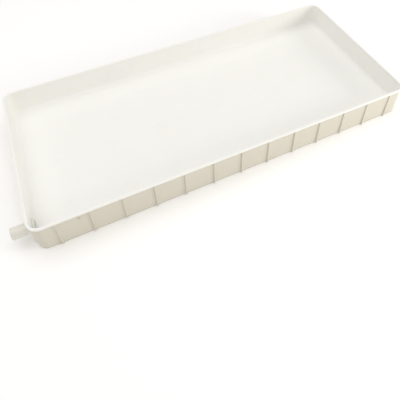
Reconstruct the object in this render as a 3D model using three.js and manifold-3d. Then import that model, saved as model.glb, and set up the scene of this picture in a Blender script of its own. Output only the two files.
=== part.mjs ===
// Long shallow drain tray, one metre by 0.45 m, with a short hose spout through one end wall.
//
// Frame: millimetres, +Z up. The origin is the middle of the underside, which lies on z = 0. The
// floor is raised above it: the walls run down past the floor as a skirt, with webs between.
// X runs along the tray, the drain end is at -X, and the long wall at -Y is the front.
// The tray itself is one plastic moulding. Its drain is a snap-in fitting: a flanged spout pushed
// through the end wall from inside, a washer under the flange, and a strainer pressed into it.
import * as THREE from 'three';
import { mergeVertices } from 'three/addons/utils/BufferGeometryUtils.js';
import Module from 'manifold-3d';

// Tray moulding
const LENGTH = 1000;             // over the rim
const WIDTH = 450;               // over the rim
const HEIGHT = 88;               // underside to rim top
const WALL = 3;                  // wall thickness
const FLOOR = 3;                 // floor thickness
const FLOOR_TOP = 20;            // floor above the bench; the walls run on down as a skirt
const DRAFT = 1.5;               // how far a wall leans in between its top and its foot
const CORNER_RADIUS = 28;        // rim corner, seen from above
const LIP = 3;                   // how far the rim stands out from the wall
const LIP_DEPTH = 5;             // height of the rim band
const RIM_ROUND = 1.2;           // rounding along the rim's edges
const FOOT_ROUND = 1.5;          // rounding at the foot of the skirt outside
const FLOOR_FILLET = 10;         // fillet between floor and wall inside
const SKIRT_FOOT = 2;            // flat width of the skirt's lower edge
const SKIRT_DRAFT = 0.5;         // how much thicker the skirt is under the floor

// Upright stiffening ribs on the outside of the walls
const RIB_WIDTH = 2.6;
const RIB_SETBACK = 0.4;         // rib face behind the rim's edge
const SIDE_RIBS = 13;            // on each long wall
const SIDE_RIB_MARGIN = 55;      // rim end to the first rib of a long wall
const END_RIBS = 6;              // on each end wall
const END_RIB_MARGIN = 35;       // rim side to the first rib of an end wall

// Webs under the floor, level with the skirt's lower edge
const WEB_WIDTH = 2.4;
const LONG_WEBS = 5;             // along the tray
const LONG_WEB_PITCH = 72;
const CROSS_WEB_STEP = 2;        // one across the tray at every second rib of a long wall

// Small tie hole through the front wall, under the rim
const TIE_HOLE = 4.4;
const TIE_BOSS = 9;
const TIE_BOSS_HEIGHT = 1;
const TIE_FROM_RIB = 51;         // from the first rib at the drain end
const TIE_BELOW_RIM = 17;        // from the rim top

// Drain fitting
const SPOUT_OUTSIDE = 28;        // spout diameter
const SPOUT_WALL = 3;
const SPOUT_REACH = 42;          // outer seat face to spout tip
const BEAD_HEIGHT = 0.6;         // hose bead round the tip
const BEAD_LENGTH = 5;
const SNAP_HEIGHT = 1.2;         // snap ridge that holds the spout from outside
const SNAP_LENGTH = 4;
const FLANGE_WIDTH = 4;          // flange beyond the tube
const FLANGE_THICKNESS = 2.6;
const SEAT_MARGIN = 2;           // flat pad on the end wall beyond the flange
const SEAT_PROUD = 0.2;          // how far the pad stands in from the wall's foot inside
const FLANGE_ROOM = 0.8;         // room cut in the floor fillet round the flange
const FLANGE_ABOVE_FLOOR = 1;
const WASHER_SETBACK = 0.5;      // washer's edge behind the flange's
const WASHER_THICKNESS = 1.5;
const STRAINER_LEDGE = 1.5;      // strainer plate beyond the bore
const STRAINER_PLATE = 1.4;
const STRAINER_SKIRT = 8;        // depth of the skirt in the bore
const STRAINER_SKIRT_WALL = 1.4;
const STRAINER_SLOT = 2.2;
const STRAINER_BAR = 1.8;
const EDGE = 0.6;                // broken edges of the fitting's pieces
const GAP = 0.3;                 // clearance between pieces that touch or slide together

// Fineness of curves
const CORNER_STEPS = 10;
const ROUND_STEPS = 4;
const TURN_STEPS = 48;

const wasm = await Module();
wasm.setup();

// A closed geometry as a solid that can be cut and joined.
function solid(geometry) {
  const bare = geometry.index ? geometry.toNonIndexed() : geometry.clone();
  bare.deleteAttribute('normal');
  bare.deleteAttribute('uv');
  const merged = mergeVertices(bare, 1e-4);
  return new wasm.Manifold(new wasm.Mesh({
    numProp: 3,
    vertProperties: new Float32Array(merged.attributes.position.array),
    triVerts: new Uint32Array(merged.index.array),
  }));
}

function toGeometry(body) {
  const mesh = body.getMesh();
  const geometry = new THREE.BufferGeometry();
  geometry.setAttribute('position', new THREE.BufferAttribute(new Float32Array(mesh.vertProperties), 3));
  geometry.setIndex(new THREE.BufferAttribute(new Uint32Array(mesh.triVerts), 1));
  geometry.computeVertexNormals();
  return geometry;
}

// Points of a quarter round in a (inset, z) profile, from one angle to the other, in degrees.
function quarterRound(inset, z, radius, from, to) {
  const points = [];
  for (let i = 0; i <= ROUND_STEPS; i += 1) {
    const angle = THREE.MathUtils.degToRad(from + ((to - from) * i) / ROUND_STEPS);
    points.push([inset + radius * Math.cos(angle), z + radius * Math.sin(angle)]);
  }
  return points;
}

// Rounded rectangle, counter-clockwise from above, a given distance inside the rim outline.
function outline(inset, z) {
  const radius = Math.max(CORNER_RADIUS - inset, 1);
  const points = [];
  [[1, 1], [-1, 1], [-1, -1], [1, -1]].forEach(([sx, sy], corner) => {
    const cx = sx * (LENGTH / 2 - inset - radius);
    const cy = sy * (WIDTH / 2 - inset - radius);
    for (let i = 0; i <= CORNER_STEPS; i += 1) {
      const angle = (corner + i / CORNER_STEPS) * (Math.PI / 2);
      points.push([cx + radius * Math.cos(angle), cy + radius * Math.sin(angle), z]);
    }
  });
  return points;
}

// Sweeps a profile of [inset, z] points round the tray's outline and closes it with two caps.
function sweepRound(profile) {
  const rings = profile.map(([inset, z]) => outline(inset, z));
  const count = rings[0].length;
  const positions = rings.flat(2);
  const indices = [];
  for (let r = 0; r < rings.length - 1; r += 1) {
    for (let i = 0; i < count; i += 1) {
      const a = r * count + i;
      const b = r * count + ((i + 1) % count);
      indices.push(a, b, b + count, a, b + count, a + count);
    }
  }
  const cap = (ring, up) => {
    const flat = rings[ring].map(([x, y]) => new THREE.Vector2(x, y));
    THREE.ShapeUtils.triangulateShape(flat, []).forEach(([a, b, c]) => {
      const start = ring * count;
      indices.push(start + a, start + (up ? b : c), start + (up ? c : b));
    });
  };
  cap(0, false);
  cap(rings.length - 1, true);
  const geometry = new THREE.BufferGeometry();
  geometry.setAttribute('position', new THREE.Float32BufferAttribute(positions, 3));
  geometry.setIndex(indices);
  return geometry;
}

// Floor, walls, rim band and fillets, still solid under the floor.
function trayShell() {
  const footInset = LIP + DRAFT;
  const innerTop = LIP + WALL;
  const innerFoot = innerTop + DRAFT;
  const lipUnder = HEIGHT - LIP_DEPTH;
  return sweepRound([
    ...quarterRound(footInset + FOOT_ROUND, FOOT_ROUND, FOOT_ROUND, 270, 180),
    [LIP, lipUnder],
    [RIM_ROUND / 2, lipUnder],
    [0, lipUnder + RIM_ROUND / 2],
    ...quarterRound(RIM_ROUND, HEIGHT - RIM_ROUND, RIM_ROUND, 180, 90),
    ...quarterRound(innerTop - RIM_ROUND, HEIGHT - RIM_ROUND, RIM_ROUND, 90, 0),
    ...quarterRound(innerFoot + FLOOR_FILLET, FLOOR_TOP + FLOOR_FILLET, FLOOR_FILLET, 180, 270),
  ]);
}

// One upright rib, drawn for the front wall at x = 0 with its face at the rim line y = 0.
function ribGeometry() {
  const root = LIP + WALL / 2;
  const insideRim = HEIGHT - LIP_DEPTH + RIM_ROUND;
  const rise = new THREE.Shape();
  rise.moveTo(LIP + DRAFT + FOOT_ROUND, RIB_SETBACK);
  rise.lineTo(RIB_SETBACK + FOOT_ROUND / 2, RIB_SETBACK);
  rise.lineTo(RIB_SETBACK, RIB_SETBACK + FOOT_ROUND / 2);
  rise.lineTo(RIB_SETBACK, insideRim);
  rise.lineTo(root, insideRim);
  rise.lineTo(root + DRAFT, FOOT_ROUND);
  const geometry = new THREE.ExtrudeGeometry(rise, { depth: RIB_WIDTH, bevelEnabled: false });
  // Shape x is the distance in from the rim (+Y on the front wall), shape y is height.
  const toFrontWall = new THREE.Matrix4().makeBasis(
    new THREE.Vector3(0, 1, 0), new THREE.Vector3(0, 0, 1), new THREE.Vector3(1, 0, 0));
  geometry.applyMatrix4(toFrontWall);
  geometry.translate(-RIB_WIDTH / 2, 0, 0);
  return geometry;
}

// Where ribs stand along a wall, measured from its middle.
function ribPlaces(length, count, margin) {
  const pitch = (length - 2 * margin) / (count - 1);
  return Array.from({ length: count }, (_, i) => (i - (count - 1) / 2) * pitch);
}

// What is hollow under the floor: everything inside the skirt except the stiffening webs.
function underfloor() {
  const skirtInside = LIP + DRAFT + FOOT_ROUND + SKIRT_FOOT;
  const ceiling = FLOOR_TOP - FLOOR;
  let hollow = solid(sweepRound([[skirtInside, -1], [skirtInside + SKIRT_DRAFT, ceiling]]));
  for (let i = 0; i < LONG_WEBS; i += 1) {
    const web = new THREE.BoxGeometry(LENGTH, WEB_WIDTH, 3 * ceiling);
    web.translate(0, (i - (LONG_WEBS - 1) / 2) * LONG_WEB_PITCH, 0);
    hollow = hollow.subtract(solid(web));
  }
  ribPlaces(LENGTH, SIDE_RIBS, SIDE_RIB_MARGIN).forEach((x, i) => {
    if (i % CROSS_WEB_STEP !== 0) return;
    const web = new THREE.BoxGeometry(WEB_WIDTH, WIDTH, 3 * ceiling);
    web.translate(x, 0, 0);
    hollow = hollow.subtract(solid(web));
  });
  return hollow;
}

// Cylinder along X, from one x to another.
function barAlongX(diameter, fromX, toX, y, z) {
  const bar = new THREE.CylinderGeometry(diameter / 2, diameter / 2, toX - fromX, TURN_STEPS);
  bar.rotateZ(Math.PI / 2);
  bar.translate((fromX + toX) / 2, y, z);
  return bar;
}

// Cylinder along Y, from one y to another.
function barAlongY(diameter, fromY, toY, x, z) {
  const bar = new THREE.CylinderGeometry(diameter / 2, diameter / 2, toY - fromY, TURN_STEPS / 2);
  bar.translate(x, (fromY + toY) / 2, z);
  return bar;
}

// The drain's seat faces, axis and radii, shared by the wall and by every piece of the fitting.
const tubeRadius = SPOUT_OUTSIDE / 2;
const boreRadius = tubeRadius - SPOUT_WALL;
const flangeRadius = tubeRadius + FLANGE_WIDTH;
const strainerRadius = boreRadius + STRAINER_LEDGE;
const seatOutside = -LENGTH / 2 + LIP;
const seatInside = -LENGTH / 2 + LIP + WALL + DRAFT + SEAT_PROUD;
const seatThickness = seatInside - seatOutside;
const drainY = -WIDTH / 2 + CORNER_RADIUS + SEAT_MARGIN + flangeRadius;
const drainZ = FLOOR_TOP + FLANGE_ABOVE_FLOOR + flangeRadius;

function trayBody() {
  let body = solid(trayShell());
  const rib = ribGeometry();
  const placeRib = (turn, along, distance) => {
    const placed = rib.clone();
    placed.translate(along, -distance, 0);
    placed.rotateZ(turn);
    body = body.add(solid(placed));
  };
  for (const along of ribPlaces(LENGTH, SIDE_RIBS, SIDE_RIB_MARGIN)) {
    placeRib(0, along, WIDTH / 2);
    placeRib(Math.PI, along, WIDTH / 2);
  }
  for (const along of ribPlaces(WIDTH, END_RIBS, END_RIB_MARGIN)) {
    placeRib(Math.PI / 2, along, LENGTH / 2);
    placeRib(-Math.PI / 2, along, LENGTH / 2);
  }
  const seat = barAlongX(2 * (flangeRadius + SEAT_MARGIN), seatOutside, seatInside, drainY, drainZ);
  const hole = barAlongX(2 * (tubeRadius + GAP), seatOutside - 5, seatInside + 5, drainY, drainZ);
  // Room for the flange in the floor fillet, and for the snap ridge through the nearest rib.
  const flangeRoom = barAlongX(2 * (flangeRadius + FLANGE_ROOM), seatInside, seatInside + FLOOR_FILLET,
    drainY, drainZ);
  const ridgeRoom = barAlongX(2 * (tubeRadius + SNAP_HEIGHT + FLANGE_ROOM), seatOutside - 5, seatOutside,
    drainY, drainZ);
  const tieX = -LENGTH / 2 + SIDE_RIB_MARGIN + TIE_FROM_RIB;
  const tieZ = HEIGHT - TIE_BELOW_RIM;
  const wallFace = -WIDTH / 2 + LIP;
  const boss = barAlongY(TIE_BOSS, wallFace - TIE_BOSS_HEIGHT, wallFace + WALL / 2 + DRAFT / 2, tieX, tieZ);
  const tieHole = barAlongY(TIE_HOLE, wallFace - 5, wallFace + WALL + DRAFT + 5, tieX, tieZ);
  body = body.add(solid(seat)).add(solid(boss)).subtract(underfloor());
  for (const cut of [flangeRoom, ridgeRoom, hole, tieHole]) body = body.subtract(solid(cut));
  return toGeometry(body);
}

// A ring turned from a closed [radius, along] profile, its axis along X and 'along' outward (-X).
function turned(profile) {
  const points = [...profile, profile[0]].map(([radius, along]) => new THREE.Vector2(radius, along));
  const geometry = new THREE.LatheGeometry(points, TURN_STEPS);
  geometry.rotateZ(Math.PI / 2);
  return geometry;
}

// Distance from the outer seat face in to the back of the spout's flange.
const flangeBack = seatThickness + GAP + WASHER_THICKNESS + GAP;

// Spout: flange inside the tray, sunk for the strainer, then the tube with its snap ridge just
// outside the wall and a hose bead at the tip. Its zero is the outer seat face.
function spoutGeometry() {
  const sink = strainerRadius + GAP;
  const inner = -(flangeBack + FLANGE_THICKNESS);
  return turned([
    [boreRadius, inner + STRAINER_PLATE + GAP],
    [sink, inner + STRAINER_PLATE + GAP],
    [sink, inner],
    [flangeRadius - EDGE, inner],
    [flangeRadius, inner + EDGE],
    [flangeRadius, -flangeBack],
    [tubeRadius, -flangeBack],
    [tubeRadius, GAP],
    [tubeRadius + SNAP_HEIGHT, GAP],
    [tubeRadius + SNAP_HEIGHT, GAP + SNAP_LENGTH / 4],
    [tubeRadius, GAP + SNAP_LENGTH],
    [tubeRadius, SPOUT_REACH - BEAD_LENGTH],
    [tubeRadius + BEAD_HEIGHT, SPOUT_REACH - BEAD_LENGTH / 2],
    [tubeRadius - EDGE, SPOUT_REACH],
    [boreRadius + EDGE, SPOUT_REACH],
    [boreRadius, SPOUT_REACH - EDGE],
  ]);
}

function washerGeometry() {
  const hole = tubeRadius + GAP;
  const rim = flangeRadius - WASHER_SETBACK;
  return turned([[hole, 0], [rim, 0], [rim, WASHER_THICKNESS], [hole, WASHER_THICKNESS]]);
}

// Strainer: slotted plate flush in the flange, with a skirt that presses into the bore.
// Its zero is the plate's inner face.
function strainerGeometry() {
  const plate = new THREE.Shape();
  plate.absarc(0, 0, strainerRadius, 0, Math.PI * 2);
  const skirtOutside = boreRadius - GAP;
  const skirtInside = skirtOutside - STRAINER_SKIRT_WALL;
  const pitch = STRAINER_SLOT + STRAINER_BAR;
  const half = STRAINER_SLOT / 2;
  const slots = Math.floor((skirtInside - half) / pitch);
  for (let i = -slots; i <= slots; i += 1) {
    const middle = i * pitch;
    const reach = Math.sqrt(skirtInside ** 2 - (Math.abs(middle) + half) ** 2);
    const slot = new THREE.Path();
    slot.moveTo(-reach, middle - half);
    slot.lineTo(-reach, middle + half);
    slot.lineTo(reach, middle + half);
    slot.lineTo(reach, middle - half);
    plate.holes.push(slot);
  }
  const disc = new THREE.ExtrudeGeometry(plate, {
    depth: STRAINER_PLATE, bevelEnabled: false, curveSegments: TURN_STEPS / 2,
  });
  disc.rotateY(-Math.PI / 2);
  const skirt = turned([
    [skirtInside, STRAINER_PLATE / 2],
    [skirtOutside, STRAINER_PLATE / 2],
    [skirtOutside, STRAINER_SKIRT - EDGE],
    [skirtOutside - EDGE, STRAINER_SKIRT],
    [skirtInside, STRAINER_SKIRT],
  ]);
  return toGeometry(solid(disc).add(solid(skirt)));
}

const ivory = new THREE.MeshStandardMaterial({ color: 0xf2f1ea, roughness: 0.42, metalness: 0 });
const spoutWhite = new THREE.MeshStandardMaterial({ color: 0xefeee6, roughness: 0.4, metalness: 0 });
const silicone = new THREE.MeshStandardMaterial({ color: 0xd9dad6, roughness: 0.7, metalness: 0 });
const strainerWhite = new THREE.MeshStandardMaterial({ color: 0xe6e6e0, roughness: 0.5, metalness: 0 });

function piece(name, geometry, material, x = 0) {
  const mesh = new THREE.Mesh(geometry, material);
  mesh.name = name;
  mesh.position.x = x;
  return mesh;
}

const tray = new THREE.Group();
tray.add(piece('tray_body', trayBody(), ivory));

// The fitting's pieces on the drain axis.
const drain = new THREE.Group();
drain.position.set(0, drainY, drainZ);
drain.add(
  piece('drain_spout', spoutGeometry(), spoutWhite, seatOutside),
  piece('drain_washer', washerGeometry(), silicone, seatInside + GAP + WASHER_THICKNESS),
  piece('drain_strainer', strainerGeometry(), strainerWhite, seatOutside + flangeBack + FLANGE_THICKNESS),
);
tray.add(drain);

export default tray;
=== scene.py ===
"""Looks for a metre-long plastic drain tray with a hose spout through one end wall.

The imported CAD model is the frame. Every piece below takes its place from that model's boxes,
stands in for one CAD node, and keeps inside the CAD model's outer box. Lengths are in metres.
"""
import math

import bmesh
import bpy
from mathutils import Matrix, Vector


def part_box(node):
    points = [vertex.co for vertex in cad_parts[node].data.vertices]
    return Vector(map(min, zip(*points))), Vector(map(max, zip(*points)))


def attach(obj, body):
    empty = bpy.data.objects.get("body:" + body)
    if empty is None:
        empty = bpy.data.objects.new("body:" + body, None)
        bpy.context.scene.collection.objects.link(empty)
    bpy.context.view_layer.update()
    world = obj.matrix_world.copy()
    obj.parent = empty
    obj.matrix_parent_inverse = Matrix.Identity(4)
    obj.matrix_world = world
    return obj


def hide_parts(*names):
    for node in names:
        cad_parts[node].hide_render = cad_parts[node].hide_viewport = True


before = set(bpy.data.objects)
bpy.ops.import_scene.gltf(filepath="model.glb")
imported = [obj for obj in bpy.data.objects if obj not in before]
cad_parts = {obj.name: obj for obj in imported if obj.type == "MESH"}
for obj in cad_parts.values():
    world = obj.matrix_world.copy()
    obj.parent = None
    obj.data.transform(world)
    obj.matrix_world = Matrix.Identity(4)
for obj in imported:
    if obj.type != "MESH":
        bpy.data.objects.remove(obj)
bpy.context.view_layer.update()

# ---------------------------------------------------------------------------------------------
# Tray shell. One injection moulding in natural polypropylene: a raised flat floor, four walls
# that lean in a little to leave the mould and run down past the floor as a skirt, and a thin rim
# turned outward. The inner wall sinks faintly where each outside rib made the plastic thicker.
MM = 0.001
WALL = 3 * MM
FLOOR = 3 * MM
FLOOR_TOP = 20 * MM              # floor above the bench
DRAFT = 1.5 * MM                 # how far a wall leans in between its top and its foot
CORNER_RADIUS = 28 * MM
LIP = 3 * MM                     # how far the rim stands out
LIP_DEPTH = 5 * MM
LIP_FILLET = 0.8 * MM            # between the wall and the underside of the rim
RIM_ROUND = 1.2 * MM
FOOT_ROUND = 1.5 * MM
FLOOR_FILLET = 10 * MM
SKIRT_FOOT = 2 * MM              # flat width of the skirt's lower edge
SKIRT_DRAFT = 0.5 * MM           # how much thicker the skirt is under the floor
SKIRT_EDGE = 0.4 * MM
SKIRT_FILLET = 1 * MM            # between the skirt and the floor, underneath
CORNER_STEPS = 28
ROUND_STEPS = 8
SHARP_FROM = math.radians(32)    # edges that turn more than this are drawn crisp
WELD = 0.002 * MM                # points closer than this are one point
SIDE_RIBS = 13
SIDE_RIB_MARGIN = 55 * MM        # rim end to the first rib of a long wall
END_RIBS = 6
END_RIB_MARGIN = 35 * MM
SINK_DEPTH = 0.22 * MM
SINK_WIDTH = 8 * MM

tray_high = Vector(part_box("tray_body")[1])
HALF_LENGTH = tray_high.x
HALF_WIDTH = tray_high.y
RIM_TOP = tray_high.z
LIP_UNDER = RIM_TOP - LIP_DEPTH
side_pitch = (2 * HALF_LENGTH - 2 * SIDE_RIB_MARGIN) / (SIDE_RIBS - 1)
end_pitch = (2 * HALF_WIDTH - 2 * END_RIB_MARGIN) / (END_RIBS - 1)


def arc(centre, radius, start, end, steps=ROUND_STEPS):
    """Points of an arc in a profile plane, its angles in degrees."""
    points = []
    for i in range(steps + 1):
        angle = math.radians(start + (end - start) * i / steps)
        points.append((centre[0] + radius * math.cos(angle), centre[1] + radius * math.sin(angle)))
    return points


def mesh_object(name, bm):
    """A new object at the origin, made from a bmesh, with its faces turned outward."""
    bmesh.ops.remove_doubles(bm, verts=bm.verts, dist=WELD)
    bmesh.ops.recalc_face_normals(bm, faces=bm.faces)
    mesh = bpy.data.meshes.new(name)
    bm.to_mesh(mesh)
    bm.free()
    mesh.polygons.foreach_set("use_smooth", [True] * len(mesh.polygons))
    mesh.set_sharp_from_angle(angle=SHARP_FROM)
    piece = bpy.data.objects.new(name, mesh)
    bpy.context.scene.collection.objects.link(piece)
    return piece


def loft(bm, loops, cap_ends=True):
    """Joins closed loops of points, each to the next, and closes the two ends."""
    rings = [[bm.verts.new(point) for point in loop] for loop in loops]
    for ring, following in zip(rings, rings[1:]):
        for i in range(len(ring)):
            j = (i + 1) % len(ring)
            bm.faces.new((ring[i], ring[j], following[j], following[i]))
    if cap_ends:
        bm.faces.new(rings[0])
        bm.faces.new(rings[-1])
    return rings


def wall_stations(count, pitch):
    """Places along a wall, from its middle, with how deep the sink mark is at each, 0 to 1."""
    stations = []
    for rib in range(count):
        middle = (rib - (count - 1) / 2) * pitch
        for step in (-4, -3, -2, -1, 0, 1, 2, 3, 4):
            depth = 0.5 + 0.5 * math.cos(math.pi * step / 4)
            stations.append((middle + step * SINK_WIDTH / 8, depth))
    return stations


def tray_ring(inset, z, sink):
    """One closed line round the tray, counter-clockwise, a given distance inside the rim."""
    radius = CORNER_RADIUS - inset
    straight_x = HALF_LENGTH - CORNER_RADIUS
    straight_y = HALF_WIDTH - CORNER_RADIUS
    side = wall_stations(SIDE_RIBS, side_pitch)
    end = wall_stations(END_RIBS, end_pitch)
    ring = []
    for turn, (half, across, stations) in enumerate([
            (straight_x, HALF_WIDTH - inset, side), (straight_y, HALF_LENGTH - inset, end),
            (straight_x, HALF_WIDTH - inset, side), (straight_y, HALF_LENGTH - inset, end)]):
        quarter = Matrix.Rotation(turn * math.pi / 2, 3, "Z")
        corner = Vector((half, across - radius, 0))
        wall = []
        for i in range(CORNER_STEPS + 1):
            angle = i / CORNER_STEPS * math.pi / 2
            wall.append(corner + radius * Vector((math.cos(angle), math.sin(angle), 0)))
        for along, depth in reversed(stations):
            wall.append(Vector((along, across + depth * sink, 0)))
        ring += [quarter @ point + Vector((0, 0, z)) for point in wall]
    return ring


inner_top = LIP + WALL
inner_foot = inner_top + DRAFT
fillet_top = FLOOR_TOP + FLOOR_FILLET
floor_under = FLOOR_TOP - FLOOR
skirt_inside = LIP + DRAFT + FOOT_ROUND + SKIRT_FOOT
profile = [(inset, z, 0) for inset, z in [
    *arc((skirt_inside + SKIRT_DRAFT + SKIRT_FILLET, floor_under - SKIRT_FILLET),
         SKIRT_FILLET, 90, 180, 4),
    *arc((skirt_inside - SKIRT_EDGE, SKIRT_EDGE), SKIRT_EDGE, 360, 270, 3),
    *arc((LIP + DRAFT + FOOT_ROUND, FOOT_ROUND), FOOT_ROUND, 270, 180),
    *arc((LIP - LIP_FILLET, LIP_UNDER - LIP_FILLET), LIP_FILLET, 0, 90, 5),
    *arc((RIM_ROUND / 2, LIP_UNDER + RIM_ROUND / 2), RIM_ROUND / 2, 270, 180, 4),
    *arc((RIM_ROUND, RIM_TOP - RIM_ROUND), RIM_ROUND, 180, 90),
    *arc((inner_top - RIM_ROUND, RIM_TOP - RIM_ROUND), RIM_ROUND, 90, 0)]]
wall_drop = RIM_TOP - RIM_ROUND - fillet_top
for down, strength in ((0.05, 0.1), (0.12, 0.5), (0.22, 1), (0.5, 1), (0.85, 1), (0.95, 0.6)):
    profile.append((inner_top + DRAFT * down, RIM_TOP - RIM_ROUND - wall_drop * down,
                    SINK_DEPTH * strength))
profile += [(inset, z, 0) for inset, z in arc(
    (inner_foot + FLOOR_FILLET, fillet_top), FLOOR_FILLET, 180, 270)]

shell_mesh = bmesh.new()
loft(shell_mesh, [tray_ring(*point) for point in profile])
tray_shell = mesh_object("tray_shell", shell_mesh)

# ---------------------------------------------------------------------------------------------
# What is cut into the shell and built up on it: the flat round seats that the drain is fitted
# against, the drain's hole, room for its flange in the floor's fillet, and the tie hole and its
# boss under the front rim. Every cut edge is broken or rounded, as a mould leaves it.
GAP = 0.3 * MM
SEAT_MARGIN = 2 * MM
SEAT_EDGE = 0.5 * MM
SEAT_PROUD = 0.2 * MM
TIE_HOLE = 4.4 * MM
TIE_BOSS = 9 * MM
TIE_BOSS_HEIGHT = 1 * MM
TIE_FROM_RIB = 51 * MM
TIE_BELOW_RIM = 17 * MM
FLANGE_ROOM = 0.8 * MM
HOLE_EDGE = 0.4 * MM             # broken edges of the drain's hole and of the flange's room
TIE_EDGE = 0.3 * MM
OVERRUN = 5 * MM                 # how far a drill passes beyond the faces it cuts
TURN_STEPS = 96

spout_low, spout_high = (Vector(corner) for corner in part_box("drain_spout"))
FLANGE_RADIUS = (spout_high.y - spout_low.y) / 2
drain_y = (spout_high.y + spout_low.y) / 2
drain_z = (spout_high.z + spout_low.z) / 2
to_drain = Matrix.Translation((0, drain_y, drain_z)) @ Matrix.Rotation(-math.pi / 2, 4, "Y")
FLANGE_WIDTH = 4 * MM
TUBE_RADIUS = FLANGE_RADIUS - FLANGE_WIDTH
seat_outside = -HALF_LENGTH + LIP
seat_inside = -HALF_LENGTH + inner_foot + SEAT_PROUD


def turned(name, outline, place, closed=True):
    """A piece turned about local Z from (radius, along) points, then put in its place."""
    bm = bmesh.new()
    loops = []
    for i in range(TURN_STEPS):
        angle = 2 * math.pi * i / TURN_STEPS
        loops.append([place @ Vector((r * math.cos(angle), r * math.sin(angle), z))
                      for r, z in outline])
    rings = [[bm.verts.new(point) for point in loop] for loop in loops]
    steps = len(outline) if closed else len(outline) - 1
    for i, ring in enumerate(rings):
        following = rings[(i + 1) % TURN_STEPS]
        for j in range(steps):
            k = (j + 1) % len(outline)
            bm.faces.new((ring[j], following[j], following[k], ring[k]))
    if not closed:
        bmesh.ops.remove_doubles(bm, verts=bm.verts, dist=WELD)
        bmesh.ops.dissolve_degenerate(bm, edges=bm.edges, dist=0.001 * MM)
    return mesh_object(name, bm)


def baked(piece):
    """The piece with its modifiers made part of a plain mesh."""
    depsgraph = bpy.context.evaluated_depsgraph_get()
    mesh = bpy.data.meshes.new_from_object(piece.evaluated_get(depsgraph))
    piece.modifiers.clear()
    piece.data = mesh
    return piece


def join_or_cut(piece, tool, operation):
    """Adds a tool shape to a piece, or cuts it away, and removes the tool."""
    change = piece.modifiers.new(operation.lower(), "BOOLEAN")
    change.operation = operation
    change.solver = "EXACT"
    change.object = tool
    baked(piece)
    bpy.data.objects.remove(tool)


def disc(radius, low, high, edge):
    """Outline of a plain round plug with rounded rims, from pole to pole."""
    return [(0, low), *arc((radius - edge, low + edge), edge, 270, 360, 4),
            *arc((radius - edge, high - edge), edge, 0, 90, 4), (0, high)]


def flared(radius, low, high, flare):
    """Outline of a drill that breaks the edges of the hole it makes at both faces."""
    wide = radius + flare + OVERRUN
    return [(0, low - OVERRUN), (wide, low - OVERRUN), (radius, low + flare),
            (radius, high - flare), (wide, high + OVERRUN), (0, high + OVERRUN)]


tie_place = Matrix.Translation((-HALF_LENGTH + SIDE_RIB_MARGIN + TIE_FROM_RIB, 0,
                                RIM_TOP - TIE_BELOW_RIM)) @ Matrix.Rotation(math.pi / 2, 4, "X")
wall_face = HALF_WIDTH - LIP
join_or_cut(tray_shell, turned("seat", disc(
    FLANGE_RADIUS + SEAT_MARGIN, -seat_inside, -seat_outside, SEAT_EDGE), to_drain, False), "UNION")
join_or_cut(tray_shell, turned("drain_hole", flared(
    TUBE_RADIUS + GAP, -seat_inside, -seat_outside, HOLE_EDGE), to_drain, False), "DIFFERENCE")
join_or_cut(tray_shell, turned("flange_room", disc(
    FLANGE_RADIUS + FLANGE_ROOM, -seat_inside - FLOOR_FILLET, -seat_inside, HOLE_EDGE),
    to_drain, False), "DIFFERENCE")
join_or_cut(tray_shell, turned("tie_boss", disc(
    TIE_BOSS / 2, wall_face - WALL / 2 - DRAFT / 2, wall_face + TIE_BOSS_HEIGHT, TIE_EDGE),
    tie_place, False), "UNION")
join_or_cut(tray_shell, turned("tie_hole", flared(
    TIE_HOLE / 2, wall_face - WALL - DRAFT / 2, wall_face + TIE_BOSS_HEIGHT, TIE_EDGE),
    tie_place, False), "DIFFERENCE")
tray_shell.data.set_sharp_from_angle(angle=SHARP_FROM)
even_shading = tray_shell.modifiers.new("even_shading", "WEIGHTED_NORMAL")
even_shading.keep_sharp = True
baked(tray_shell)

# ---------------------------------------------------------------------------------------------
# The tray's plastic. Natural polypropylene is milky and faintly warm, and lets a little light
# through. The mould was spark-eroded, so the surface is satin with a very fine grain. The scuffs
# on the floor are guessed. The walls' outside carries painted shade: darker and warmer, darkest at
# the foot, to stand in for a dimmer surround than this studio's. It isn't a second colour of
# plastic.
CLOUD = 90 * MM                  # size of the milky clouding
FLOW = 24 * MM                   # width of the flow streaks along the tray
FLOW_LENGTH = 400 * MM
GRAIN = 1.6 * MM                 # spark grain is near 0.1 mm; drawn coarser so that it shows
GRAIN_HEIGHT = 0.03 * MM
WAVE = 70 * MM                   # the floor and walls aren't dead flat
WAVE_HEIGHT = 0.25 * MM
SCRATCH = 0.7 * MM
SCRATCH_LENGTH = 30 * MM
SCUFFED_HEIGHT = 5 * MM          # how far scuffs reach up the floor's fillet
WALL_SCUFFS = 0.15               # strength of the scuffs on the walls, where the floor has 1
SATIN = (0.38, 0.5)              # roughness between and in the flow streaks
SCUFF_ROUGHNESS = 0.14           # added where it is rubbed
MILKINESS = 3 * MM               # how far light spreads inside
POLYPROPYLENE_IOR = 1.49
TRAY_LIGHT = "F7F7F4"
TRAY_DEEP = "F3F3EE"
TRAY_OUTSIDE_SHADE = "DAD5C7"          # painted shade outside, for light and not for the plastic itself
TRAY_FOOT_SHADOW = "B9B4A4"             # painted contact shadow at the foot, darker than the outside
# Height and strength of the painted contact shadow along the foot.
FOOT_SHADOW_HEIGHT = 3.5 * MM
FOOT_SHADOW_STRENGTH = 0.8
OUTSIDE_SHADE_BLEND = (1 * MM, 0.2 * MM)   # depth into the outer wall where the painted shade ends and is full
RIM_BLEND = 0.5 * MM
MILKY_SHARE = 0.15               # share of the light that goes in and comes out again
STREAK_SHARE = 0.35              # share of the flow streaks in the clouding
SCRATCH_FROM = (0.66, 0.74)      # noise levels where a scratch starts and is full


def linear(code):
    """An sRGB hex colour as linear red, green, blue and alpha."""
    channels = [int(code[i:i + 2], 16) / 255 for i in (0, 2, 4)]
    return (*[c / 12.92 if c <= 0.04045 else ((c + 0.055) / 1.055) ** 2.4 for c in channels], 1)


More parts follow.
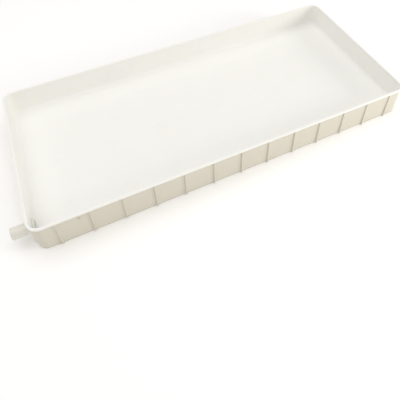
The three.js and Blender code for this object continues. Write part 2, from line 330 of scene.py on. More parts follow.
def socket(sockets, key):
    """A node's socket by its identifier, or else by its name."""
    return next((s for s in sockets if s.identifier == key), None) or sockets[key]


def add_node(tree, kind, inputs=None, **settings):
    """Adds one node. An input given as a socket is linked, and any other input is set."""
    node = tree.nodes.new(kind)
    for name, value in settings.items():
        setattr(node, name, value)
    for key, value in (inputs or {}).items():
        if isinstance(value, bpy.types.NodeSocket):
            tree.links.new(value, socket(node.inputs, key))
        else:
            socket(node.inputs, key).default_value = value
    return node


def new_material(name):
    """An empty node material."""
    material = bpy.data.materials.new(name)
    material.use_nodes = True
    material.node_tree.nodes.clear()
    return material


def tray_polypropylene():
    """Natural polypropylene with clouding, flow streaks, spark grain, scuffs on the floor, and
    painted shade on the walls' outside.
    """
    material = new_material("tray_moulded_polypropylene")
    tree = material.node_tree
    place = add_node(tree, "ShaderNodeTexCoord").outputs["Object"]
    clouds = add_node(tree, "ShaderNodeTexNoise", {
        "Vector": place, "Scale": 1 / CLOUD, "Detail": 3.0, "Roughness": 0.5})
    along = add_node(tree, "ShaderNodeMapping", {
        "Vector": place, "Scale": (1 / FLOW_LENGTH, 1 / FLOW, 1 / FLOW)})
    streaks = add_node(tree, "ShaderNodeTexNoise", {
        "Vector": along.outputs["Vector"], "Scale": 1.0, "Detail": 2.0, "Distortion": 0.4})
    tone = add_node(tree, "ShaderNodeMix", {
        "Factor_Float": STREAK_SHARE, "A_Float": clouds.outputs["Fac"],
        "B_Float": streaks.outputs["Fac"]})
    colour = add_node(tree, "ShaderNodeMix", {
        "Factor_Float": tone.outputs["Result"], "A_Color": linear(TRAY_DEEP),
        "B_Color": linear(TRAY_LIGHT)}, data_type="RGBA")

    folded = add_node(tree, "ShaderNodeVectorMath", {
        "Vector": add_node(tree, "ShaderNodeVectorMath", {"Vector": place},
                           operation="ABSOLUTE").outputs["Vector"],
        "Vector_001": (HALF_LENGTH - CORNER_RADIUS, HALF_WIDTH - CORNER_RADIUS, 1)},
        operation="SUBTRACT")
    beyond = add_node(tree, "ShaderNodeVectorMath", {
        "Vector": folded.outputs["Vector"], "Vector_001": (0, 0, 0)}, operation="MAXIMUM")
    from_corner = add_node(tree, "ShaderNodeVectorMath", {"Vector": beyond.outputs["Vector"]},
                           operation="LENGTH")
    # Painted shade: the walls' outside, below the rim, is coloured darker and warmer than the
    # inside.
    outer_side = add_node(tree, "ShaderNodeMapRange", {
        "Value": from_corner.outputs["Value"],
        "From Min": CORNER_RADIUS - LIP - DRAFT - OUTSIDE_SHADE_BLEND[0],
        "From Max": CORNER_RADIUS - LIP - DRAFT - OUTSIDE_SHADE_BLEND[1]})
    height = add_node(tree, "ShaderNodeSeparateXYZ", {"Vector": place}).outputs["Z"]
    under_rim = add_node(tree, "ShaderNodeMapRange", {
        "Value": height, "From Min": LIP_UNDER - RIM_BLEND, "From Max": LIP_UNDER,
        "To Min": 1.0, "To Max": 0.0})
    outside = add_node(tree, "ShaderNodeMath", {
        "Value": outer_side.outputs["Result"], "Value_001": under_rim.outputs["Result"]},
        operation="MULTIPLY")
    # Painted contact shadow: the outside is darker still in a low band along the foot.
    foot_shadow_mask = add_node(tree, "ShaderNodeMapRange", {
        "Value": height, "From Min": FOOT_SHADOW_HEIGHT / 3, "From Max": FOOT_SHADOW_HEIGHT,
        "To Min": FOOT_SHADOW_STRENGTH, "To Max": 0.0}, interpolation_type="SMOOTHSTEP")
    painted_shade_colour = add_node(tree, "ShaderNodeMix", {
        "Factor_Float": foot_shadow_mask.outputs["Result"], "A_Color": linear(TRAY_OUTSIDE_SHADE),
        "B_Color": linear(TRAY_FOOT_SHADOW)}, data_type="RGBA")
    with_painted_shade = add_node(tree, "ShaderNodeMix", {
        "Factor_Float": outside.outputs["Value"], "A_Color": socket(colour.outputs, "Result_Color"),
        "B_Color": socket(painted_shade_colour.outputs, "Result_Color")}, data_type="RGBA")
    low_down = add_node(tree, "ShaderNodeMapRange", {
        "Value": height, "From Min": FLOOR_TOP, "From Max": FLOOR_TOP + SCUFFED_HEIGHT,
        "To Min": 1.0, "To Max": WALL_SCUFFS}, interpolation_type="SMOOTHSTEP")
    scratches = []
    for turn in (25, -50):
        slide = add_node(tree, "ShaderNodeMapping", {
            "Vector": place, "Rotation": (0, 0, math.radians(turn)),
            "Scale": (1 / SCRATCH_LENGTH, 1 / SCRATCH, 1 / SCRATCH)})
        rub = add_node(tree, "ShaderNodeTexNoise", {
            "Vector": slide.outputs["Vector"], "Scale": 1.0, "Detail": 1.0})
        scratches.append(add_node(tree, "ShaderNodeMapRange", {
            "Value": rub.outputs["Fac"], "From Min": SCRATCH_FROM[0],
            "From Max": SCRATCH_FROM[1]}).outputs["Result"])
    rubbed = add_node(tree, "ShaderNodeMath", {"Value": scratches[0], "Value_001": scratches[1]},
                      operation="MAXIMUM")
    scuffs = add_node(tree, "ShaderNodeMath", {
        "Value": rubbed.outputs["Value"], "Value_001": low_down.outputs["Result"]},
        operation="MULTIPLY")
    satin = add_node(tree, "ShaderNodeMapRange", {
        "Value": streaks.outputs["Fac"], "From Min": 0.3, "From Max": 0.7, "To Min": SATIN[0],
        "To Max": SATIN[1]})
    roughness = add_node(tree, "ShaderNodeMath", {
        "Value": scuffs.outputs["Value"], "Value_001": SCUFF_ROUGHNESS,
        "Value_002": satin.outputs["Result"]}, operation="MULTIPLY_ADD")

    wave = add_node(tree, "ShaderNodeTexNoise", {
        "Vector": place, "Scale": 1 / WAVE, "Detail": 1.0})
    waved = add_node(tree, "ShaderNodeBump", {
        "Strength": 0.6, "Distance": WAVE_HEIGHT, "Height": wave.outputs["Fac"]})
    grain = add_node(tree, "ShaderNodeTexNoise", {
        "Vector": place, "Scale": 1 / GRAIN, "Detail": 2.0, "Roughness": 0.6})
    dug = add_node(tree, "ShaderNodeMath", {
        "Value": scuffs.outputs["Value"], "Value_001": -0.5, "Value_002": grain.outputs["Fac"]},
        operation="MULTIPLY_ADD")
    surface = add_node(tree, "ShaderNodeBump", {
        "Strength": 0.5, "Distance": GRAIN_HEIGHT, "Height": dug.outputs["Value"],
        "Normal": waved.outputs["Normal"]})
    plastic = add_node(tree, "ShaderNodeBsdfPrincipled", {
        "Base Color": socket(with_painted_shade.outputs, "Result_Color"),
        "Roughness": roughness.outputs["Value"], "IOR": POLYPROPYLENE_IOR,
        "Subsurface Weight": MILKY_SHARE, "Subsurface Radius": (1.0, 0.9, 0.7),
        "Subsurface Scale": MILKINESS,
        "Normal": surface.outputs["Normal"]})
    add_node(tree, "ShaderNodeOutputMaterial", {"Surface": plastic.outputs["BSDF"]})
    return material


tray_plastic = tray_polypropylene()
tray_shell.data.materials.clear()
tray_shell.data.materials.append(tray_plastic)
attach(tray_shell, "root")
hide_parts("tray_body")

# ---------------------------------------------------------------------------------------------
# Outside ribs. Thin upright ribs moulded with the walls, flush with the rim's edge so that
# trays nest. Each grows out of the wall through a small fillet and is rounded at its face.
RIB_WIDTH = 2.6 * MM
RIB_NARROWING = 0.2 * MM         # narrower at its face, each side, to leave the mould
RIB_SETBACK = 0.4 * MM
RIB_ROOT = 0.8 * MM
RIB_EDGE = 0.5 * MM
RIB_HEEL = 2.4 * MM              # rounding at the foot of a rib
RIB_SUNK = 0.6 * MM              # how far a rib's back lies inside the wall
HEEL_STEPS = 8
SNAP_HEIGHT = 1.2 * MM           # spout's snap ridge, which the nearest end rib is notched for
RIDGE_ROOM_EDGE = 0.3 * MM


def rib_section(root, face):
    """A rib's closed outline across one height, from a point on the wall to one on its face."""
    out = face - root
    depth = out.length
    out = out / depth
    across = Vector((1, 0, 0))
    root_round = min(RIB_ROOT, 0.35 * depth)
    edge = min(RIB_EDGE, 0.3 * depth)
    half = RIB_WIDTH / 2
    narrow = half - RIB_NARROWING
    side = [(half, -RIB_SUNK), (half + root_round, -0.02 * MM)]
    side += arc((half + root_round, root_round), root_round, 260, 180, 5)
    side += arc((narrow - edge, depth - edge), edge, 0, 90, 4)
    section = side + [(-x, d) for x, d in reversed(side)]
    return [root + across * x + out * d for x, d in section]


def rib_master():
    """One rib, drawn for the front wall at x = 0, the rim's edge at y = 0."""
    points = []
    inset_foot = LIP + DRAFT
    wall_foot = FOOT_ROUND
    for step in range(7):
        z = LIP_UNDER + 1 * MM + (RIB_SETBACK + RIB_HEEL - LIP_UNDER - 1 * MM) * step / 6
        z_wall = max(z, wall_foot)
        lean = DRAFT * (LIP_UNDER - z_wall) / (LIP_UNDER - wall_foot)
        points.append((Vector((0, LIP + max(lean, 0), z)), Vector((0, RIB_SETBACK, z))))
    end_turn = math.asin(1 - RIB_SETBACK / FOOT_ROUND)
    centre = Vector((0, inset_foot + FOOT_ROUND, FOOT_ROUND))
    last = centre - FOOT_ROUND * Vector((0, math.cos(end_turn), math.sin(end_turn)))
    heel = arc((RIB_SETBACK + RIB_HEEL, RIB_SETBACK + RIB_HEEL), RIB_HEEL, 180, 270, HEEL_STEPS)
    for step in range(1, HEEL_STEPS + 4):
        turn = math.pi + end_turn * step / (HEEL_STEPS + 3)
        root = centre + FOOT_ROUND * Vector((0, math.cos(turn), math.sin(turn)))
        if step <= HEEL_STEPS:
            face = Vector((0, *heel[step]))
        else:
            face = Vector((0, *heel[-1])).lerp(last, (step - HEEL_STEPS) / 3.2)
        points.append((root, face))
    bm = bmesh.new()
    loft(bm, [rib_section(root, face) for root, face in points])
    return mesh_object("rib_master", bm)


def node_tree(name, inputs):
    """A geometry node tree with named inputs and one geometry output."""
    tree = bpy.data.node_groups.new(name, "GeometryNodeTree")
    for label, kind in inputs.items():
        tree.interface.new_socket(label, in_out="INPUT", socket_type="NodeSocket" + kind)
    tree.interface.new_socket("Shape", in_out="OUTPUT", socket_type="NodeSocketGeometry")
    return tree


def centred_line(tree, count, pitch, axis, aside=None):
    """Adds a line of evenly spaced points along an axis, its middle at zero."""
    gaps = add_node(tree, "ShaderNodeMath", {"Value": count, "Value_001": 1.0},
                    operation="SUBTRACT")
    span = add_node(tree, "ShaderNodeMath", {"Value": gaps.outputs["Value"], "Value_001": pitch},
                    operation="MULTIPLY")
    first = add_node(tree, "ShaderNodeMath", {
        "Value": span.outputs["Value"], "Value_001": -0.5}, operation="MULTIPLY")
    start = add_node(tree, "ShaderNodeCombineXYZ", {
        axis: first.outputs["Value"], **(aside or {})})
    step = add_node(tree, "ShaderNodeCombineXYZ", {axis: pitch})
    return add_node(tree, "GeometryNodeMeshLine", {
        "Count": count, "Start Location": start.outputs["Vector"],
        "Offset": step.outputs["Vector"]}, mode="OFFSET")


def finish_growth(tree, geometry, plastic):
    """Makes a tree's instances real, gives them their plastic and sends them out."""
    real = add_node(tree, "GeometryNodeRealizeInstances", {"Geometry": geometry})
    coated = add_node(tree, "GeometryNodeSetMaterial", {
        "Geometry": real.outputs["Geometry"], "Material": plastic})
    add_node(tree, "NodeGroupOutput", {"Shape": coated.outputs["Geometry"]})


def ribs_on_two_walls():
    """Node tree: evenly spaced ribs on one wall and on the wall opposite."""
    tree = node_tree("ribs_on_two_walls", {
        "Rib": "Object", "Count": "Int", "Pitch": "Float", "Distance": "Float", "Turn": "Float",
        "Plastic": "Material"})
    given = add_node(tree, "NodeGroupInput").outputs
    front = add_node(tree, "ShaderNodeMath", {
        "Value": given["Distance"], "Value_001": -1.0}, operation="MULTIPLY")
    line = centred_line(tree, given["Count"], given["Pitch"], "X", {"Y": front.outputs["Value"]})
    rib = add_node(tree, "GeometryNodeObjectInfo", {"Object": given["Rib"]})
    row = add_node(tree, "GeometryNodeInstanceOnPoints", {
        "Points": line.outputs["Mesh"], "Instance": rib.outputs["Geometry"]})
    both = add_node(tree, "GeometryNodeJoinGeometry")
    for half_turn in (0, math.pi):
        angle = add_node(tree, "ShaderNodeMath", {
            "Value": given["Turn"], "Value_001": half_turn}, operation="ADD")
        rotation = add_node(tree, "ShaderNodeCombineXYZ", {"Z": angle.outputs["Value"]})
        wall = add_node(tree, "GeometryNodeTransform", {
            "Geometry": row.outputs["Instances"], "Rotation": rotation.outputs["Vector"]})
        tree.links.new(wall.outputs["Geometry"], both.inputs["Geometry"])
    finish_growth(tree, both.outputs["Geometry"], given["Plastic"])
    return tree


def grown(name, tree, values):
    """A plain mesh piece made by a geometry node tree from the given input values."""
    piece = bpy.data.objects.new(name, bpy.data.meshes.new(name))
    bpy.context.scene.collection.objects.link(piece)
    growth = piece.modifiers.new("growth", "NODES")
    growth.node_group = tree
    for item in tree.interface.items_tree:
        if item.item_type == "SOCKET" and item.in_out == "INPUT":
            growth[item.identifier] = values[item.name]
    return baked(piece)


rib = rib_master()
rib_tree = ribs_on_two_walls()
for name, count, pitch, distance, turn in (
        ("tray_side_ribs", SIDE_RIBS, side_pitch, HALF_WIDTH, 0.0),
        ("tray_end_ribs", END_RIBS, end_pitch, HALF_LENGTH, math.pi / 2)):
    ribs = grown(name, rib_tree, {"Rib": rib, "Count": count, "Pitch": pitch,
                                  "Distance": distance, "Turn": turn, "Plastic": tray_plastic})
    if name == "tray_end_ribs":
        join_or_cut(ribs, turned("ridge_room", disc(
            TUBE_RADIUS + SNAP_HEIGHT + FLANGE_ROOM, -seat_outside, -seat_outside + OVERRUN,
            RIDGE_ROOM_EDGE), to_drain, False), "DIFFERENCE")
    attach(ribs, "root")
    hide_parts("tray_body")
bpy.data.objects.remove(rib)

# ---------------------------------------------------------------------------------------------
# Webs under the floor. Thin moulded webs along and across the tray carry the raised floor. They
# narrow toward their lower edges, which lie level with the skirt's, and grow out of the floor
# through small fillets.
WEB_WIDTH = 2.4 * MM
WEB_NARROWING = 0.3 * MM         # each side, over the web's height
WEB_ROOT = 0.8 * MM
WEB_EDGE = 0.3 * MM
WEB_SUNK = 1 * MM                # how far a web runs into the skirt and the floor
LONG_WEBS = 5
LONG_WEB_PITCH = 72 * MM
CROSS_WEBS = 7
CROSS_WEB_STEP = 2               # one at every second rib of a long wall


def web_master(name, half_length, lift):
    """One web along x, its lower edge a hair above the bench."""
    half = WEB_WIDTH / 2
    side = [(half - WEB_NARROWING - WEB_EDGE, lift),
            *arc((half - WEB_NARROWING - WEB_EDGE, lift + WEB_EDGE), WEB_EDGE, 270, 360, 3),
            *arc((half + WEB_ROOT, floor_under - WEB_ROOT), WEB_ROOT, 180, 90, 4),
            (half + WEB_ROOT, floor_under + WEB_SUNK)]
    section = side + [(-across, z) for across, z in reversed(side)]
    bm = bmesh.new()
    loft(bm, [[Vector((end * half_length, across, z)) for across, z in section]
              for end in (-1, 1)])
    return mesh_object(name, bm)


def webs_two_ways():
    """Node tree: a row of long webs side by side, and a row of short ones across them."""
    tree = node_tree("webs_two_ways", {
        "Long Web": "Object", "Long Count": "Int", "Long Pitch": "Float",
        "Cross Web": "Object", "Cross Count": "Int", "Cross Pitch": "Float",
        "Plastic": "Material"})
    given = add_node(tree, "NodeGroupInput").outputs
    both = add_node(tree, "GeometryNodeJoinGeometry")
    for way, axis, turn in (("Long", "Y", 0.0), ("Cross", "X", math.pi / 2)):
        line = centred_line(tree, given[way + " Count"], given[way + " Pitch"], axis)
        web = add_node(tree, "GeometryNodeObjectInfo", {"Object": given[way + " Web"]})
        row = add_node(tree, "GeometryNodeInstanceOnPoints", {
            "Points": line.outputs["Mesh"], "Instance": web.outputs["Geometry"],
            "Rotation": (0, 0, turn)})
        tree.links.new(row.outputs["Instances"], both.inputs["Geometry"])
    finish_growth(tree, both.outputs["Geometry"], given["Plastic"])
    return tree


long_web = web_master("long_web", HALF_LENGTH - skirt_inside + WEB_SUNK, 0.02 * MM)
cross_web = web_master("cross_web", HALF_WIDTH - skirt_inside + WEB_SUNK, 0.05 * MM)
webs = grown("tray_webs", webs_two_ways(), {
    "Long Web": long_web, "Long Count": LONG_WEBS, "Long Pitch": LONG_WEB_PITCH,
    "Cross Web": cross_web, "Cross Count": CROSS_WEBS,
    "Cross Pitch": CROSS_WEB_STEP * side_pitch, "Plastic": tray_plastic})
for web in (long_web, cross_web):
    bpy.data.objects.remove(web)
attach(webs, "root")
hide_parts("tray_body")

# ---------------------------------------------------------------------------------------------
# Gate marks. Guessed: the plastic entered the mould under the floor at two places, and each has
# a low round pad with a short stub in its middle where the runner was snapped off.
GATE_WIDTH = 9 * MM
GATE_HEIGHT = 0.8 * MM
GATE_STUB = 2.6 * MM
GATE_EDGE = 0.2 * MM
GATE_SUNK = 1 * MM               # how far a pad runs up into the floor
GATE_FROM_MIDDLE = 3             # rib pitches along the tray

gate_outline = [(0, GATE_SUNK), (GATE_WIDTH / 2, GATE_SUNK),
                (GATE_WIDTH / 2, GATE_EDGE - GATE_HEIGHT),
                (GATE_WIDTH / 2 - GATE_EDGE, -GATE_HEIGHT), (GATE_STUB / 2, -GATE_HEIGHT),
                (GATE_STUB / 2 - GATE_EDGE, -2 * GATE_HEIGHT), (0, -2 * GATE_HEIGHT)]
for name, side in (("tray_gate_left", -1), ("tray_gate_right", 1)):
    gate = turned(name, gate_outline, Matrix.Translation(
        (side * GATE_FROM_MIDDLE * side_pitch, LONG_WEB_PITCH / 2, floor_under)), closed=False)
    gate.data.materials.append(tray_plastic)
    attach(gate, "root")
    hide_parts("tray_body")

# ---------------------------------------------------------------------------------------------
# Ejector marks. Round pins push the tray off its mould, and each leaves a faint raised disc on
# the floor inside, in rows along the tray.
MARK_WIDTH = 10 * MM
MARK_HEIGHT = 0.12 * MM
MARK_EDGE = 0.1 * MM
MARK_COLUMNS = 7
MARK_ROWS = 3
MARK_MARGIN = 90 * MM            # outermost pins to the rim


def marks_on_the_floor():
    """Node tree: one raised disc at each point of a grid over the floor."""
    tree = node_tree("marks_on_the_floor", {
        "Mark": "Object", "Columns": "Int", "Rows": "Int", "Length": "Float", "Width": "Float",
        "Plastic": "Material"})
    given = add_node(tree, "NodeGroupInput").outputs
    grid = add_node(tree, "GeometryNodeMeshGrid", {
        "Size X": given["Length"], "Size Y": given["Width"], "Vertices X": given["Columns"],
        "Vertices Y": given["Rows"]})
    mark = add_node(tree, "GeometryNodeObjectInfo", {"Object": given["Mark"]})
    marks = add_node(tree, "GeometryNodeInstanceOnPoints", {
        "Points": grid.outputs["Mesh"], "Instance": mark.outputs["Geometry"]})
    finish_growth(tree, marks.outputs["Instances"], given["Plastic"])
    return tree


mark = turned("mark", disc(MARK_WIDTH / 2, FLOOR_TOP - 0.5 * MM, FLOOR_TOP + MARK_HEIGHT,
                           MARK_EDGE), Matrix.Identity(4), closed=False)
marks = grown("tray_ejector_marks", marks_on_the_floor(), {
    "Mark": mark, "Columns": MARK_COLUMNS, "Rows": MARK_ROWS,
    "Length": 2 * (HALF_LENGTH - MARK_MARGIN), "Width": 2 * (HALF_WIDTH - MARK_MARGIN),
    "Plastic": tray_plastic})
bpy.data.objects.remove(mark)
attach(marks, "root")
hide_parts("tray_body")

# ---------------------------------------------------------------------------------------------
# Drain spout. A small polypropylene moulding pushed through the end wall from inside until its
# snap ridge clicks out. The mould parts along the tube and leaves a fine line on each side.
SPOUT_WALL = 3 * MM
FLANGE_THICKNESS = 2.6 * MM
SNAP_LENGTH = 4 * MM
BEAD_HEIGHT = 0.6 * MM
BEAD_LENGTH = 5 * MM
STRAINER_LEDGE = 1.5 * MM
STRAINER_PLATE = 1.4 * MM
SPOUT_EDGE = 0.4 * MM
SEAM_HEIGHT = 0.12 * MM
SEAM_ANGLE = 0.8                 # half the width of the parting line, in degrees
SPOUT_LIGHT = "EFEDE5"
SPOUT_DEEP = "E8E5DA"
SPOUT_CLOUD = 14 * MM
SPOUT_GRAIN = 0.8 * MM

bore_radius = TUBE_RADIUS - SPOUT_WALL
spout_inner = -spout_high.x      # distances here run outward along the drain, from x = 0
spout_tip = -spout_low.x
flange_back = spout_inner + FLANGE_THICKNESS
wall_outside = -seat_outside


def spout_outline():
    """The spout's closed outline of (radius, distance out), from the bore round to the bore."""
    sink = FLANGE_RADIUS - FLANGE_WIDTH - SPOUT_WALL + STRAINER_LEDGE + GAP
    ledge = spout_inner + STRAINER_PLATE + GAP
    ridge = TUBE_RADIUS + SNAP_HEIGHT
    bead_start = spout_tip - BEAD_LENGTH
    outline = [
        *arc((bore_radius + SPOUT_EDGE, ledge + SPOUT_EDGE), SPOUT_EDGE, 180, 270, 4),
        (sink, ledge),
        *arc((sink + SPOUT_EDGE, spout_inner + SPOUT_EDGE), SPOUT_EDGE, 180, 270, 4),
        *arc((FLANGE_RADIUS - SPOUT_EDGE, spout_inner + SPOUT_EDGE), SPOUT_EDGE, 270, 360, 4),
        *arc((FLANGE_RADIUS - SPOUT_EDGE, flange_back - SPOUT_EDGE), SPOUT_EDGE, 0, 90, 4),
        (TUBE_RADIUS, flange_back),
        (TUBE_RADIUS, wall_outside + GAP),
        (ridge - 0.3 * MM, wall_outside + GAP),
        *arc((ridge - 0.3 * MM, wall_outside + GAP + 0.3 * MM), 0.3 * MM, 270, 360, 3)]
    for step in range(7):
        fall = step / 6
        outline.append((TUBE_RADIUS + SNAP_HEIGHT * (0.5 + 0.5 * math.cos(math.pi * fall)),
                        wall_outside + GAP + SNAP_LENGTH * (0.25 + 0.75 * fall)))
    for step in range(9):
        rise = step / 8
        outline.append((TUBE_RADIUS + BEAD_HEIGHT * (0.5 - 0.5 * math.cos(math.pi * rise)),
                        bead_start + BEAD_LENGTH * 0.55 * rise))
    tip_round = 1 * MM
    outline += arc((TUBE_RADIUS - tip_round, spout_tip - tip_round), tip_round, 50, 90, 5)
    outline += arc((bore_radius + SPOUT_EDGE, spout_tip - SPOUT_EDGE), SPOUT_EDGE, 90, 180, 4)
    return outline


def spout_with_seams():
    """Turns the spout and raises the mould's parting line along both sides of its tube."""
    bm = bmesh.new()
    angles = sorted({360 * i / TURN_STEPS for i in range(TURN_STEPS)}
                    | {(side + nudge) % 360 for side in (0, 180)
                       for nudge in (-SEAM_ANGLE, SEAM_ANGLE)})
    loops = []
    for angle in angles:
        turn = math.radians(angle)
        on_seam = angle in (0, 180)
        loop = []
        for radius, out in spout_outline():
            outside = radius >= TUBE_RADIUS and wall_outside + SNAP_LENGTH < out
            reach = radius + (SEAM_HEIGHT if on_seam and outside else 0)
            loop.append(to_drain @ Vector((reach * math.cos(turn), reach * math.sin(turn), out)))
        loops.append(loop)
    loft(bm, loops + loops[:1], cap_ends=False)
    return mesh_object("drain_spout_piece", bm)


def fitting_plastic(name, light, deep, cloud, grain, rough, milkiness):
    """A small satin moulding's plastic: faint clouding, spark grain and uneven gloss."""
    material = new_material(name)
    tree = material.node_tree
    place = add_node(tree, "ShaderNodeTexCoord").outputs["Object"]
    clouds = add_node(tree, "ShaderNodeTexNoise", {
        "Vector": place, "Scale": 1 / cloud, "Detail": 3.0})
    colour = add_node(tree, "ShaderNodeMix", {
        "Factor_Float": clouds.outputs["Fac"], "A_Color": linear(deep), "B_Color": linear(light)},
        data_type="RGBA")
    gloss = add_node(tree, "ShaderNodeTexNoise", {
        "Vector": place, "Scale": 3 / cloud, "Detail": 2.0})
    roughness = add_node(tree, "ShaderNodeMapRange", {
        "Value": gloss.outputs["Fac"], "From Min": 0.3, "From Max": 0.7,
        "To Min": rough - 0.06, "To Max": rough + 0.06})
    spark = add_node(tree, "ShaderNodeTexNoise", {
        "Vector": place, "Scale": 1 / grain, "Detail": 2.0, "Roughness": 0.6})
    surface = add_node(tree, "ShaderNodeBump", {
        "Strength": 0.4, "Distance": 0.02 * MM, "Height": spark.outputs["Fac"]})
    plastic = add_node(tree, "ShaderNodeBsdfPrincipled", {
        "Base Color": socket(colour.outputs, "Result_Color"),
        "Roughness": roughness.outputs["Result"], "IOR": POLYPROPYLENE_IOR,
        "Subsurface Weight": milkiness,
        "Subsurface Radius": (1.0, 0.9, 0.7), "Subsurface Scale": 2 * MM,
        "Normal": surface.outputs["Normal"]})
    add_node(tree, "ShaderNodeOutputMaterial", {"Surface": plastic.outputs["BSDF"]})
    return material


spout = spout_with_seams()
spout.data.materials.append(fitting_plastic(
    "spout_moulded_polypropylene", SPOUT_LIGHT, SPOUT_DEEP, SPOUT_CLOUD, SPOUT_GRAIN, 0.4, 0.15))
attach(spout, "root")
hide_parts("drain_spout")

# ---------------------------------------------------------------------------------------------
# Washer. A flat ring stamped from milky silicone sheet and squeezed between the spout's flange
# and the seat, with softly crushed edges. It is matte and holds a little dust.
WASHER_EDGE = 0.35 * MM
SILICONE_LIGHT = "ECEDE9"
SILICONE_DEEP = "E2E3DE"
WASHER_SWELL = 0.2 * MM          # thicker than the CAD washer, to close most of the gaps
SILICONE_DUST = 5 * MM

washer_low, washer_high = (Vector(corner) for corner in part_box("drain_washer"))
washer_rim = (washer_high.y - washer_low.y) / 2
washer_hole = TUBE_RADIUS + GAP
near, far = -washer_high.x - WASHER_SWELL, -washer_low.x + WASHER_SWELL
washer = turned("drain_washer_piece", [
    *arc((washer_hole + WASHER_EDGE, near + WASHER_EDGE), WASHER_EDGE, 180, 270, 4),
    *arc((washer_rim - WASHER_EDGE, near + WASHER_EDGE), WASHER_EDGE, 270, 360, 4),
    *arc((washer_rim - WASHER_EDGE, far - WASHER_EDGE), WASHER_EDGE, 0, 90, 4),
    *arc((washer_hole + WASHER_EDGE, far - WASHER_EDGE), WASHER_EDGE, 90, 180, 4)], to_drain)
washer.data.materials.append(fitting_plastic(
    "washer_stamped_silicone", SILICONE_LIGHT, SILICONE_DEEP, SILICONE_DUST, 0.5 * MM, 0.68, 0.3))
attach(washer, "root")
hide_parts("drain_washer")

# ---------------------------------------------------------------------------------------------
# Strainer. A polyethylene grille that lies flush in the flange, on a short skirt that presses
# into the bore. It pulls out for cleaning. Rounded bars leave slots for the water.
STRAINER_SKIRT_WALL = 1.4 * MM
STRAINER_SLOT = 2.2 * MM
STRAINER_BAR = 1.8 * MM
BAR_ROUND = 0.5 * MM
STRAINER_LIGHT = "E7E7E1"
STRAINER_DEEP = "DDDDD6"

strainer_low, strainer_high = (Vector(corner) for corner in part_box("drain_strainer"))
plate_radius = (strainer_high.y - strainer_low.y) / 2
plate_face = -strainer_high.x
plate_back = plate_face + STRAINER_PLATE
skirt_end = -strainer_low.x
skirt_outside = bore_radius - GAP
skirt_inside = skirt_outside - STRAINER_SKIRT_WALL
bar_pitch = STRAINER_SLOT + STRAINER_BAR
bar_count = 2 * int((skirt_inside - STRAINER_SLOT / 2) / bar_pitch)


def bars_across_a_ring():
    """Node tree: parallel bars, each cut to the length of its chord across a round opening."""
    tree = node_tree("bars_across_a_ring", {
        "Bar": "Object", "Count": "Int", "Pitch": "Float", "Radius": "Float",
        "Plastic": "Material"})
    given = add_node(tree, "NodeGroupInput").outputs
    line = centred_line(tree, given["Count"], given["Pitch"], "Y")
    across = add_node(tree, "ShaderNodeSeparateXYZ", {
        "Vector": add_node(tree, "GeometryNodeInputPosition").outputs["Position"]})
    ratio = add_node(tree, "ShaderNodeMath", {
        "Value": across.outputs["Y"], "Value_001": given["Radius"]}, operation="DIVIDE")
    angle = add_node(tree, "ShaderNodeMath", {"Value": ratio.outputs["Value"]},
                     operation="ARCSINE")
    chord = add_node(tree, "ShaderNodeMath", {"Value": angle.outputs["Value"]},
                     operation="COSINE")
    reach = add_node(tree, "ShaderNodeMath", {
        "Value": chord.outputs["Value"], "Value_001": given["Radius"]}, operation="MULTIPLY")
    stretch = add_node(tree, "ShaderNodeCombineXYZ", {
        "X": reach.outputs["Value"], "Y": 1.0, "Z": 1.0})
    bar = add_node(tree, "GeometryNodeObjectInfo", {"Object": given["Bar"]})
    bars = add_node(tree, "GeometryNodeInstanceOnPoints", {
        "Points": line.outputs["Mesh"], "Instance": bar.outputs["Geometry"],
        "Scale": stretch.outputs["Vector"]})
    finish_growth(tree, bars.outputs["Instances"], given["Plastic"])
    return tree


def bar_master():
    """One rounded bar, 1 m to each side along x so that its scale is half its length."""
    half = STRAINER_BAR / 2
    section = [*arc((half - BAR_ROUND, plate_face + BAR_ROUND), BAR_ROUND, 270, 360, 4),
               *arc((half - BAR_ROUND, plate_back - BAR_ROUND), BAR_ROUND, 0, 90, 4)]
    section += [(-across, out) for across, out in reversed(section)]
    bm = bmesh.new()
    loft(bm, [[Vector((end, across, out)) for across, out in section] for end in (-1, 1)])
    return mesh_object("bar_master", bm)


strainer_plastic = fitting_plastic(
    "strainer_moulded_polyethylene", STRAINER_LIGHT, STRAINER_DEEP, 8 * MM, 0.6 * MM, 0.5, 0.2)
edge = SPOUT_EDGE
frame_ring = turned("drain_strainer_frame", [
    *arc((skirt_inside + edge, plate_face + edge), edge, 180, 270, 4),
    *arc((plate_radius - edge, plate_face + edge), edge, 270, 360, 4),
    (plate_radius, plate_back),
    (skirt_outside, plate_back),
    *arc((skirt_outside - edge, skirt_end - edge), edge, 0, 90, 4),
    (skirt_inside, skirt_end)], to_drain)
frame_ring.data.materials.append(strainer_plastic)
bar = bar_master()
bars = grown("drain_strainer_bars", bars_across_a_ring(), {
    "Bar": bar, "Count": bar_count, "Pitch": bar_pitch, "Radius": skirt_inside + 0.3 * MM,
    "Plastic": strainer_plastic})
bars.data.transform(to_drain)
bpy.data.objects.remove(bar)
for piece in (frame_ring, bars):
    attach(piece, "root")
    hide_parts("drain_strainer")

# ---------------------------------------------------------------------------------------------
# The studio: a broad white floor that glows a little, an even bright room, a large soft
# lamp overhead and a small low one at the front right.
STAGE_SIZE = 14
STAGE_WHITE = "FCFCFC"
STAGE_GLOW = 0.08                # glows a little, so that the ground stays white
STAGE_DROP = 0.2 * MM            # below the tray, so that the two never touch
PAPER_TOOTH = 1 / 300
ROOM_LIGHT = "FFFCF8"
ROOM_STRENGTH = 0.6


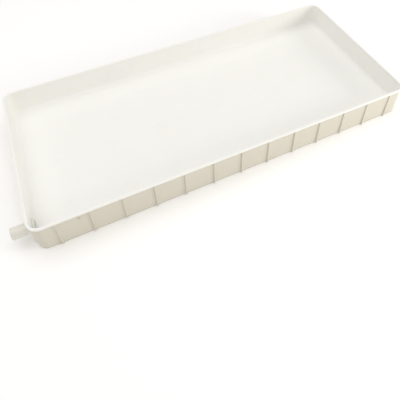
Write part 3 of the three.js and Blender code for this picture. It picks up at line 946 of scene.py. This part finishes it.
def stage_paper():
    """Matte studio paper with the faintest tooth."""
    material = new_material("studio_paper")
    tree = material.node_tree
    place = add_node(tree, "ShaderNodeTexCoord").outputs["Object"]
    tooth = add_node(tree, "ShaderNodeTexNoise", {"Vector": place, "Scale": 1 / PAPER_TOOTH,
                                                    "Detail": 2.0})
    surface = add_node(tree, "ShaderNodeBump", {
        "Strength": 0.05, "Distance": 0.1 * MM, "Height": tooth.outputs["Fac"]})
    paper = add_node(tree, "ShaderNodeBsdfPrincipled", {
        "Base Color": linear(STAGE_WHITE), "Roughness": 1.0, "Specular IOR Level": 0.0,
        "Emission Color": linear(STAGE_WHITE), "Emission Strength": STAGE_GLOW,
        "Normal": surface.outputs["Normal"]})
    add_node(tree, "ShaderNodeOutputMaterial", {"Surface": paper.outputs["BSDF"]})
    return material


floor_mesh = bmesh.new()
bmesh.ops.create_grid(floor_mesh, x_segments=1, y_segments=1, size=STAGE_SIZE / 2)
floor_data = bpy.data.meshes.new("studio_floor")
floor_mesh.to_mesh(floor_data)
floor_mesh.free()
studio_floor = bpy.data.objects.new("studio_floor", floor_data)
studio_floor.location.z = -STAGE_DROP
studio_floor.data.materials.append(stage_paper())
bpy.context.scene.collection.objects.link(studio_floor)

room = bpy.data.worlds.new("room")
room.use_nodes = True
room.node_tree.nodes.clear()
sky = add_node(room.node_tree, "ShaderNodeBackground", {
    "Color": linear(ROOM_LIGHT), "Strength": ROOM_STRENGTH})
add_node(room.node_tree, "ShaderNodeOutputWorld", {"Surface": sky.outputs["Background"]})
bpy.context.scene.world = room


def soft_lamp(name, place, target, size, power, colour):
    """A square area lamp that faces a target."""
    lamp = bpy.data.lights.new(name, "AREA")
    lamp.shape = "SQUARE"
    lamp.size = size
    lamp.energy = power
    lamp.color = linear(colour)[:3]
    holder = bpy.data.objects.new(name, lamp)
    holder.location = place
    holder.rotation_euler = (Vector(target) - Vector(place)).to_track_quat("-Z", "Y").to_euler()
    bpy.context.scene.collection.objects.link(holder)


soft_lamp("overhead_lamp", (-0.4, 0.2, 2.6), (0, 0, 0), 3.2, 34, "FCFDFF")
soft_lamp("right_lamp", (1.5, -1.1, 0.6), (0.2, -0.2, 0), 0.6, 11, "FFFDF8")

# ---------------------------------------------------------------------------------------------
# Camera. A slightly long lens, above the front left corner and tipped down on the open tray.
LENS = 41.17
SENSOR = 36
SHIFT = (-0.0618, -0.2651)
CAMERA_AZIMUTH = -25.37
CAMERA_ELEVATION = 45.13
CAMERA_ROLL = 0.234
CAMERA_DISTANCE = 1.2953
LOOK_AT = Vector((0.0674, 0.0098, 0.04))

view = bpy.data.cameras.new("camera")
view.lens = LENS
view.sensor_width = SENSOR
view.shift_x, view.shift_y = SHIFT
camera = bpy.data.objects.new("camera", view)
turn, tip = math.radians(CAMERA_AZIMUTH), math.radians(CAMERA_ELEVATION)
camera.location = LOOK_AT + CAMERA_DISTANCE * Vector(
    (math.sin(turn) * math.cos(tip), -math.cos(turn) * math.cos(tip), math.sin(tip)))
camera.rotation_euler = (math.pi / 2 - tip, math.radians(CAMERA_ROLL), turn)
bpy.context.scene.collection.objects.link(camera)
bpy.context.scene.camera = camera
bpy.context.scene.view_settings.view_transform = "Standard"
